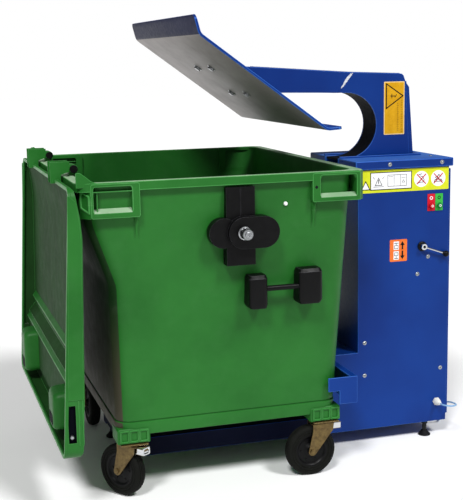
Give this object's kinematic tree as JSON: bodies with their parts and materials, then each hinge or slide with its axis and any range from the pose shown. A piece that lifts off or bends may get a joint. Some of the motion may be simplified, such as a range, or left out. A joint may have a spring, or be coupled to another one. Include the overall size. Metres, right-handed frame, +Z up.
{
  "type": "trash compactor",
  "caption": "In-container waste compactor: a swinging hydraulic arm presses a plate into a wheeled waste container docked against its control cabinet.",
  "frame": {"origin": "on the floor, under the middle of the object's footprint without its mains lead", "axes": "+Z up, +X from the docked container toward the cabinet, -Y is the side with the buttons and lever"},
  "size_m": [1.8795, 1.392, 1.7764],
  "materials": {
    "green_plastic": "moulded HDPE, faint scuffs",
    "blue_paint": "semi-gloss powder coat",
    "black_plastic": "moulded, fine grain",
    "black_rubber": "solid rubber",
    "tyre_rubber": "solid rubber tyre, scuffed",
    "zinc_yellow": "yellow passivated zinc",
    "steel": "machined or zinc plated",
    "worn_steel": "bare on the pressing face, blue paint on top and edges",
    "label_film": "printed film",
    "red_plastic": "gloss",
    "green_button": "gloss",
    "legend_film": "red and green legend plates",
    "gland_plastic": "off-white nylon",
    "cord_plastic": "light blue cable sheath",
    "tank_paint": "grey paint",
    "cast_motor": "painted casting",
    "cylinder_paint": "black paint",
    "chrome_rod": "hard chrome"
  },
  "bodies": {
    "machine": {"side_panel_near": "blue_paint", "side_panel_far": "blue_paint", "front_panel": "blue_paint", "rear_panel": "blue_paint", "top_cover": "blue_paint", "slot_collar": "blue_paint", "base_tray": "blue_paint", "base_frame": "blue_paint", "foot_studs": "steel", "foot_pads": "black_rubber", "catch_bar": "blue_paint", "warning_labels": "label_film", "button_legends": "legend_film", "lever_boss": "black_plastic", "panel_screws": "steel", "cable_gland": "gland_plastic", "pivot_brackets": "blue_paint", "pivot_shaft": "steel", "cylinder_barrel": "cylinder_paint", "oil_tank": "tank_paint", "pump_motor": "cast_motor", "valve_block": "steel", "mains_cord": "cord_plastic", "cord_coil": "cord_plastic", "mains_plug": "black_plastic"},
    "arm": {"arm_side_plates": "blue_paint", "arm_webs": "blue_paint", "arm_hub": "steel", "arm_tail_pin": "steel", "arm_label": "label_film", "plate_bracket": "blue_paint", "press_plate": "worn_steel", "plate_bolts": "steel"},
    "ram": {"cylinder_rod": "chrome_rod"},
    "stop_key": {"stop_button": "red_plastic"},
    "start_key": {"start_button": "green_button"},
    "lever": {"lever_rod": "chrome_rod", "lever_knob": "black_plastic"},
    "bin": {"bin_tub": "green_plastic", "trunnion_mounts": "black_plastic", "trunnion_pins": "steel", "side_handle_blocks": "black_plastic", "side_handle_bars": "black_plastic", "caster_plates": "zinc_yellow"},
    "lid": {"lid_shell": "green_plastic", "lid_hinge_pins": "black_plastic", "lid_grips": "green_plastic"},
    "caster_1": {"caster_fork_1": "zinc_yellow"},
    "wheel_1": {"wheel_hub_1": "black_plastic", "tyre_1": "tyre_rubber"},
    "caster_2": {"caster_fork_2": "zinc_yellow"},
    "wheel_2": {"wheel_hub_2": "black_plastic", "tyre_2": "tyre_rubber"},
    "caster_3": {"caster_fork_3": "zinc_yellow"},
    "wheel_3": {"wheel_hub_3": "black_plastic", "tyre_3": "tyre_rubber"},
    "caster_4": {"caster_fork_4": "zinc_yellow"},
    "wheel_4": {"wheel_hub_4": "black_plastic", "tyre_4": "tyre_rubber"}
  },
  "joints": [
    {"name": "arm_swing", "type": "hinge", "parent": "machine", "child": "arm", "pos_m": [0.6695, 0, 0.95], "axis": [0, -1, 0], "range_deg": [0, 42]},
    {"name": "ram_slide", "type": "slide", "parent": "machine", "child": "ram", "axis": [0, 0, 1], "range_m": [0, 0.0861]},
    {"name": "bin_roll", "type": "slide", "parent": "machine", "child": "bin", "axis": [-1, 0, 0], "range_m": [0, 1.1]},
    {"name": "lid_hinge", "type": "hinge", "parent": "bin", "child": "lid", "pos_m": [-0.7285, 0, 1.231], "axis": [0, 1, 0], "range_deg": [0, 190]},
    {"name": "stop_press", "type": "slide", "parent": "machine", "child": "stop_key", "axis": [0, 1, 0], "range_m": [0, 0.004], "stiffness_N_per_m": 500},
    {"name": "start_press", "type": "slide", "parent": "machine", "child": "start_key", "axis": [0, 1, 0], "range_m": [0, 0.004], "stiffness_N_per_m": 500},
    {"name": "lever_turn", "type": "hinge", "parent": "machine", "child": "lever", "pos_m": [0.7265, -0.263, 0.832], "axis": [0, 1, 0], "range_deg": [-20, 20], "stiffness_Nm_per_rad": 6},
    {"name": "caster_swivel_1", "type": "hinge", "parent": "bin", "child": "caster_1", "pos_m": [-0.5705, -0.475, 0.2], "axis": [0, 0, 1], "continuous": true},
    {"name": "wheel_spin_1", "type": "hinge", "parent": "caster_1", "child": "wheel_1", "pos_m": [-0.60283, -0.4305, 0.1], "axis": [-0.809, -0.5878, 0], "continuous": true},
    {"name": "caster_swivel_2", "type": "hinge", "parent": "bin", "child": "caster_2", "pos_m": [0.1895, -0.475, 0.2], "axis": [0, 0, 1], "continuous": true},
    {"name": "wheel_spin_2", "type": "hinge", "parent": "caster_2", "child": "wheel_2", "pos_m": [0.1345, -0.475, 0.1], "axis": [0, -1, 0], "continuous": true},
    {"name": "caster_swivel_3", "type": "hinge", "parent": "bin", "child": "caster_3", "pos_m": [-0.5705, 0.475, 0.2], "axis": [0, 0, 1], "continuous": true},
    {"name": "wheel_spin_3", "type": "hinge", "parent": "caster_3", "child": "wheel_3", "pos_m": [-0.5705, 0.42, 0.1], "axis": [1, 0, 0], "continuous": true},
    {"name": "caster_swivel_4", "type": "hinge", "parent": "bin", "child": "caster_4", "pos_m": [0.1895, 0.475, 0.2], "axis": [0, 0, 1], "continuous": true},
    {"name": "wheel_spin_4", "type": "hinge", "parent": "caster_4", "child": "wheel_4", "pos_m": [0.13534, 0.46545, 0.1], "axis": [0.1736, -0.9848, 0], "continuous": true}
  ],
  "couplings": [
    {"joint": "ram_slide", "follows": "arm_swing", "m_per_rad": 0.11732}
  ]
}
